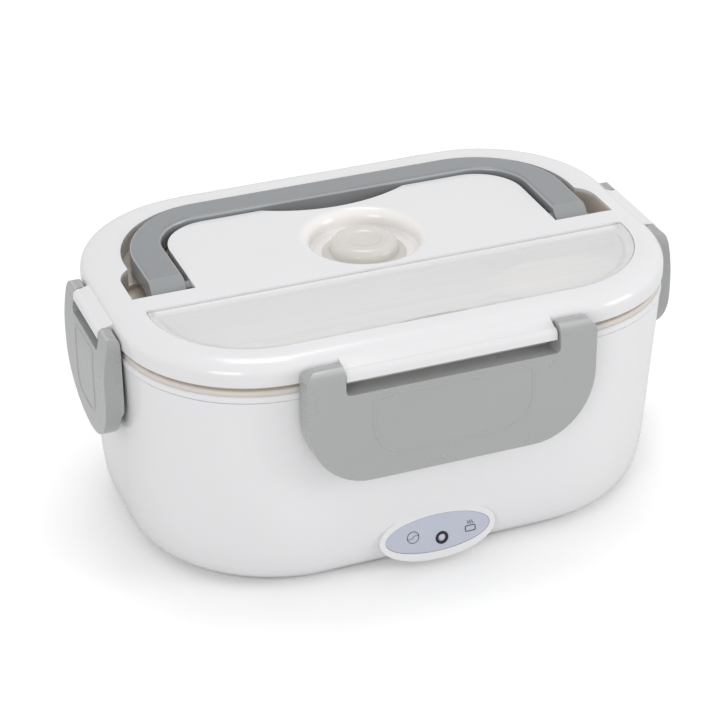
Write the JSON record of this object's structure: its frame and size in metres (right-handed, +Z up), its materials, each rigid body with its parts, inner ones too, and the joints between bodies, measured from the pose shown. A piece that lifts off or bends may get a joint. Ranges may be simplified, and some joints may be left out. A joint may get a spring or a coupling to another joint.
{
  "type": "electric lunch box",
  "caption": "Portable heated lunch box with rounded corners: heated base, lift-out container and tray, latched lid with folding carry handle, steam plug and spoon compartment.",
  "frame": {"origin": "centre of the footprint on the surface the rubber feet stand on", "axes": "+Z up, -Y the front with the indicator plate, +X to the right seen from the front"},
  "size_m": [0.2388, 0.1681, 0.1071],
  "materials": {
    "white_plastic": "gloss",
    "grey_plastic": "satin",
    "handle_plastic": "satin",
    "cover_plastic": "matte",
    "beige_plastic": "matte",
    "cream_plastic": "matte",
    "silicone": "matte",
    "clear_silicone": "satin",
    "frosted_plastic": "frosted",
    "spoon_plastic": "satin",
    "black_rubber": "matte",
    "black_plastic": "matte",
    "navy_plastic": "gloss",
    "label_film": "satin",
    "lamp": "gloss",
    "aluminium": "brushed",
    "steel": "satin",
    "ceramic": "matte",
    "brown_plastic": "matte",
    "red_silicone": "matte",
    "wire": "matte"
  },
  "bodies": {
    "base": {"base_shell": "white_plastic", "inner_tub": "white_plastic", "heating_plate": "aluminium", "plate_gasket": "red_silicone", "plate_screws": "steel", "heater_element": "ceramic", "heater_clamp": "steel", "thermostat": "brown_plastic", "thermal_fuse": "ceramic", "internal_wires": "wire", "bottom_cover": "cover_plastic", "bottom_screws": "steel", "rubber_feet": "black_rubber", "power_inlet": "black_plastic", "inlet_pins": "steel", "led_lamp": "lamp", "led_holder": "navy_plastic", "indicator_plate": "label_film"},
    "container": {"food_container": "beige_plastic"},
    "tray": {"small_tray": "cream_plastic"},
    "lid": {"lid_shell": "white_plastic", "lid_liner": "beige_plastic", "lid_seal": "silicone", "spoon": "spoon_plastic"},
    "handle": {"carry_handle": "handle_plastic"},
    "vent": {"vent_plug": "clear_silicone"},
    "spoon_door": {"spoon_cover": "frosted_plastic"},
    "latch_front": {"front_latch": "grey_plastic"},
    "latch_back": {"back_latch": "grey_plastic"},
    "latch_left": {"left_latch": "grey_plastic"},
    "latch_right": {"right_latch": "grey_plastic"}
  },
  "joints": [
    {"name": "container_lift", "type": "slide", "parent": "base", "child": "container", "axis": [0, 0, 1], "range_m": [0, 0.1]},
    {"name": "tray_lift", "type": "slide", "parent": "container", "child": "tray", "axis": [0, 0, 1], "range_m": [0, 0.06]},
    {"name": "lid_lift", "type": "slide", "parent": "tray", "child": "lid", "axis": [0, 0, 1], "range_m": [0, 0.12]},
    {"name": "handle_fold", "type": "hinge", "parent": "lid", "child": "handle", "pos_m": [0, -0.001, 0.1014], "axis": [1, 0, 0], "range_deg": [0, 90]},
    {"name": "vent_lift", "type": "slide", "parent": "lid", "child": "vent", "axis": [0, 0, 1], "range_m": [0, 0.003]},
    {"name": "spoon_door_hinge", "type": "hinge", "parent": "lid", "child": "spoon_door", "pos_m": [0, -0.0215, 0.103], "axis": [-1, 0, 0], "range_deg": [0, 80]},
    {"name": "front_latch_hinge", "type": "hinge", "parent": "lid", "child": "latch_front", "pos_m": [0, -0.0801, 0.0973], "axis": [-1, 0, 0], "range_deg": [0, 110]},
    {"name": "back_latch_hinge", "type": "hinge", "parent": "lid", "child": "latch_back", "pos_m": [0, 0.0789, 0.0973], "axis": [1, 0, 0], "range_deg": [0, 110]},
    {"name": "left_latch_hinge", "type": "hinge", "parent": "lid", "child": "latch_left", "pos_m": [-0.1148, 0, 0.0973], "axis": [0, 1, 0], "range_deg": [0, 110]},
    {"name": "right_latch_hinge", "type": "hinge", "parent": "lid", "child": "latch_right", "pos_m": [0.1148, 0, 0.0973], "axis": [0, -1, 0], "range_deg": [0, 110]}
  ]
}
